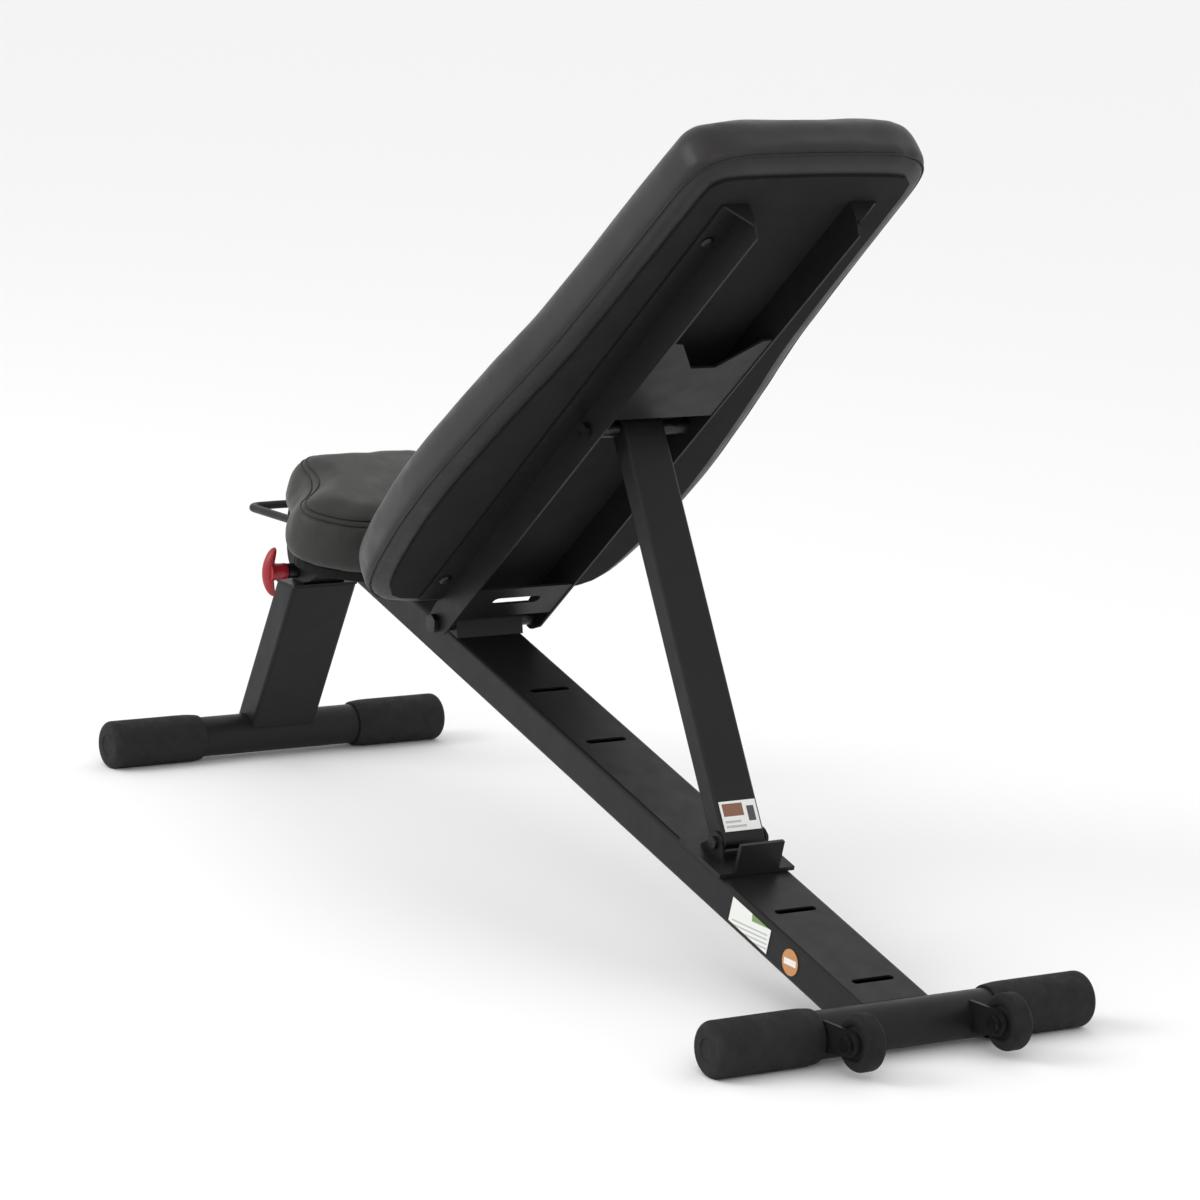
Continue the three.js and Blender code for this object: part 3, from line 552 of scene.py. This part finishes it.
# %% Copies and baking
def merged_copy(node, name):
    bm = bmesh.new()
    bm.from_mesh(NODES[node].data)
    bmesh.ops.remove_doubles(bm, verts=bm.verts, dist=1e-6)
    me = bpy.data.meshes.new(name)
    bm.to_mesh(me)
    bm.free()
    ob = bpy.data.objects.new(name, me)
    bpy.context.scene.collection.objects.link(ob)
    return ob


def bake(ob):
    dg = bpy.context.evaluated_depsgraph_get()
    me = bpy.data.meshes.new_from_object(ob.evaluated_get(dg))
    old = ob.data
    ob.modifiers.clear()
    ob.data = me
    bpy.data.meshes.remove(old)


# %% Cushion simulation
STAPLED = 0.012        # cover held below this height above the board
CLOTH_FRAMES = 20
SMOOTHINGS = 9


def cushion(node, name, mat, voxel, cap, up, base):
    """up: outward direction of the cushion's face; base: a point of its underside."""
    ob = merged_copy(node, name)
    rm = ob.modifiers.new("voxels", "REMESH")
    rm.mode = "VOXEL"
    rm.voxel_size = voxel
    bake(ob)
    me = ob.data
    me.update()
    up = Vector(up).normalized()
    base = Vector(base)
    held = [v.index for v in me.vertices if (v.co - base).dot(up) < STAPLED]
    start = [v.co.copy() for v in me.vertices]
    g = ob.vertex_groups.new(name="held")
    g.add(held, 1.0, "REPLACE")
    cl = ob.modifiers.new("cloth", "CLOTH")
    st = cl.settings
    st.quality = 5
    st.mass = 0.3
    st.tension_stiffness = 15
    st.compression_stiffness = 15
    st.shear_stiffness = 5
    st.bending_stiffness = 0.5
    st.use_pressure = True
    st.uniform_pressure_force = 4.0
    st.effector_weights.gravity = 0.0
    st.vertex_group_mass = "held"
    cl.collision_settings.use_collision = False
    sc = bpy.context.scene
    for f in range(1, CLOTH_FRAMES + 1):
        sc.frame_set(f)
    dg = bpy.context.evaluated_depsgraph_get()
    ev = ob.evaluated_get(dg).to_mesh()
    moved = [v.co.copy() for v in ev.vertices]
    ob.evaluated_get(dg).to_mesh_clear()
    ob.modifiers.clear()
    sc.frame_set(1)
    for v, a, b in zip(me.vertices, start, moved):
        d = b - a
        v.co = a + d * min(1.0, cap / max(d.length, 1e-9))
    for _ in range(SMOOTHINGS):
        bm = bmesh.new()
        bm.from_mesh(me)
        bmesh.ops.smooth_vert(bm, verts=bm.verts, factor=0.5,
                              use_axis_x=True, use_axis_y=True, use_axis_z=True)
        bm.to_mesh(me)
        bm.free()
    s = ob.modifiers.new("fine", "SUBSURF")
    s.levels = s.render_levels = 1
    bake(ob)
    ob.vertex_groups.clear()
    ob.data.materials.clear()
    ob.data.materials.append(mat)
    for p in ob.data.polygons:
        p.use_smooth = True
    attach(ob, BODY[node])
    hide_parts(node)
    return ob


def seam_loop(ob, centre, u, v, up, height, count=220):
    """Points round the pad where rays from outside meet it at one height above its base."""
    bm = bmesh.new()
    bm.from_mesh(ob.data)
    tree = BVHTree.FromBMesh(bm)
    pts = []
    for i in range(count):
        a = 2 * math.pi * i / count
        d = (u * math.cos(a) + v * math.sin(a)).normalized()
        o = centre + up * height
        hit, n, _, _ = tree.ray_cast(o + d * 1.2, -d, 2.0)
        if hit is not None:
            pts.append((hit, n))
    bm.free()
    return pts


def even(points, step=0.004):
    """Evenly spaced closed polyline."""
    pts = [p for p, _ in points]
    out = []
    for i in range(len(pts)):
        a, b = pts[i], pts[(i + 1) % len(pts)]
        k = max(int((b - a).length / step), 1)
        out += [a.lerp(b, j / k) for j in range(k)]
    for _ in range(4):
        out = [(out[i - 1] + out[i] * 2 + out[(i + 1) % len(out)]) / 4 for i in range(len(out))]
    return out


def press(ob, line, depth, width):
    """Sinks the cover along a line, as a sewn seam does."""
    kd = KDTree(len(line))
    for i, p in enumerate(line):
        kd.insert(p, i)
    kd.balance()
    me = ob.data
    me.update()
    moves = []
    for v in me.vertices:
        _, _, d = kd.find(v.co)
        if d < width * 2.5:
            moves.append((v.index, v.normal * (-depth * math.exp(-(d / width) ** 2))))
    for i, m in moves:
        me.vertices[i].co += m


def welt(name, line, radius, body, node):
    ob = settle(sweep(line, radius, 8, True), name, STITCH, body)
    return ob


# %% Directions of the two pads
BACK_ANGLE = 42.5      # degrees above the horizontal, at rest
TUBE_SLOPE = 0.25      # the seat lies along the main tube
recline = math.radians(BACK_ANGLE)
B_U = Vector((math.cos(recline), 0, math.sin(recline)))
B_UP = Vector((-math.sin(recline), 0, math.cos(recline)))
slope = math.atan(TUBE_SLOPE)
S_U = Vector((math.cos(slope), 0, -math.sin(slope)))
S_UP = Vector((math.sin(slope), 0, math.cos(slope)))
ACROSS = Vector((0, 1, 0))


def mid(node):
    lo, hi = (Vector(p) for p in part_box(node))
    return (lo + hi) / 2


def underside(node, up):
    me = NODES[node].data
    return min((v.co.dot(up) for v in me.vertices))


back_base = B_UP * underside("back_pad", B_UP)
seat_base = S_UP * underside("seat_pad", S_UP)
back = cushion("back_pad", "back_cushion", BACK_VINYL, 0.0075, 0.0065, B_UP, back_base)
seat = cushion("seat_pad", "seat_cushion", SEAT_VINYL_PAINTED_LIGHT, 0.005, 0.007, S_UP, seat_base)
print("cushions:", len(back.data.polygons), "and", len(seat.data.polygons), "faces")


# %% Seams
def on_plane(node, up, base_level):
    c = mid(node)
    return c - up * (c.dot(up) - base_level)


bc = on_plane("back_pad", B_UP, underside("back_pad", B_UP))
sc_ = on_plane("seat_pad", S_UP, underside("seat_pad", S_UP))
line = even(seam_loop(back, bc, B_U, ACROSS, B_UP, 0.010, 320))
press(back, line, 0.0022, 0.005)
welt("back_seam", line, 0.0011, BODY["back_pad"], "back_pad")
for k, h in enumerate((0.064, 0.0695)):
    line = even(seam_loop(seat, sc_, S_U, ACROSS, S_UP, h, 240), 0.003)
    press(seat, line, 0.0012, 0.0035)
    welt(f"seat_seam_{k}", line, 0.0009, BODY["seat_pad"], "seat_pad")


# %% [markdown]
# ## Studio
# A black bench needs a pale room, or its edges are lost. The floor is a
# plain pale sheet. A broad key from the side, a soft fill and a light sky
# keep the faces apart in tone. The camera is long, so little is distorted,
# and it is rolled by about three degrees.

# %% Floor, light and camera
bm = bmesh.new()
bmesh.ops.create_grid(bm, x_segments=1, y_segments=1, size=30)
me = bpy.data.meshes.new("floor")
bm.to_mesh(me)
bm.free()
floor = bpy.data.objects.new("floor", me)
bpy.context.scene.collection.objects.link(floor)
fm, fnt, fb = material("pale floor", 0.9, 0.0, 0.1)
fb.inputs["Base Color"].default_value = (0.9, 0.9, 0.9, 1)
me.materials.append(fm)

world = bpy.data.worlds.new("sky")
bpy.context.scene.world = world
world.use_nodes = True
bg = world.node_tree.nodes["Background"]
bg.inputs["Color"].default_value = (1, 1, 1, 1)
bg.inputs["Strength"].default_value = 1.0


def area(name, loc, target, size, power):
    ld = bpy.data.lights.new(name, "AREA")
    ld.shape = "RECTANGLE"
    ld.size = size[0]
    ld.size_y = size[1]
    ld.energy = power
    ob = bpy.data.objects.new(name, ld)
    bpy.context.scene.collection.objects.link(ob)
    d = Vector(target) - Vector(loc)
    ob.matrix_world = Matrix.Translation(loc) @ d.to_track_quat("-Z", "Y").to_matrix().to_4x4()
    return ob


area("key", (-1.2, -4.2, 3.0), (0.0, 0.0, 0.4), (2.5, 2.0), 90)
area("fill", (4.5, -2.0, 3.2), (0.0, 0.0, 0.4), (3.0, 2.0), 35)

R = Vector((0.532382, 0.844893, 0.052197))
U = Vector((-0.19844, 0.064621, 0.97798))
B = Vector((0.822916, -0.531017, 0.202064))
cam_data = bpy.data.cameras.new("camera")
cam = bpy.data.objects.new("camera", cam_data)
bpy.context.scene.collection.objects.link(cam)
cam_data.sensor_width = 36
cam_data.lens = 135.2
cam_data.clip_end = 100
m = Matrix((R, U, B)).transposed().to_4x4()
m.translation = (4.5064, -2.8819, 1.47179)
cam.matrix_world = m
bpy.context.scene.camera = cam
bpy.context.scene.view_settings.view_transform = "Standard"
bpy.context.scene.view_settings.look = "None"
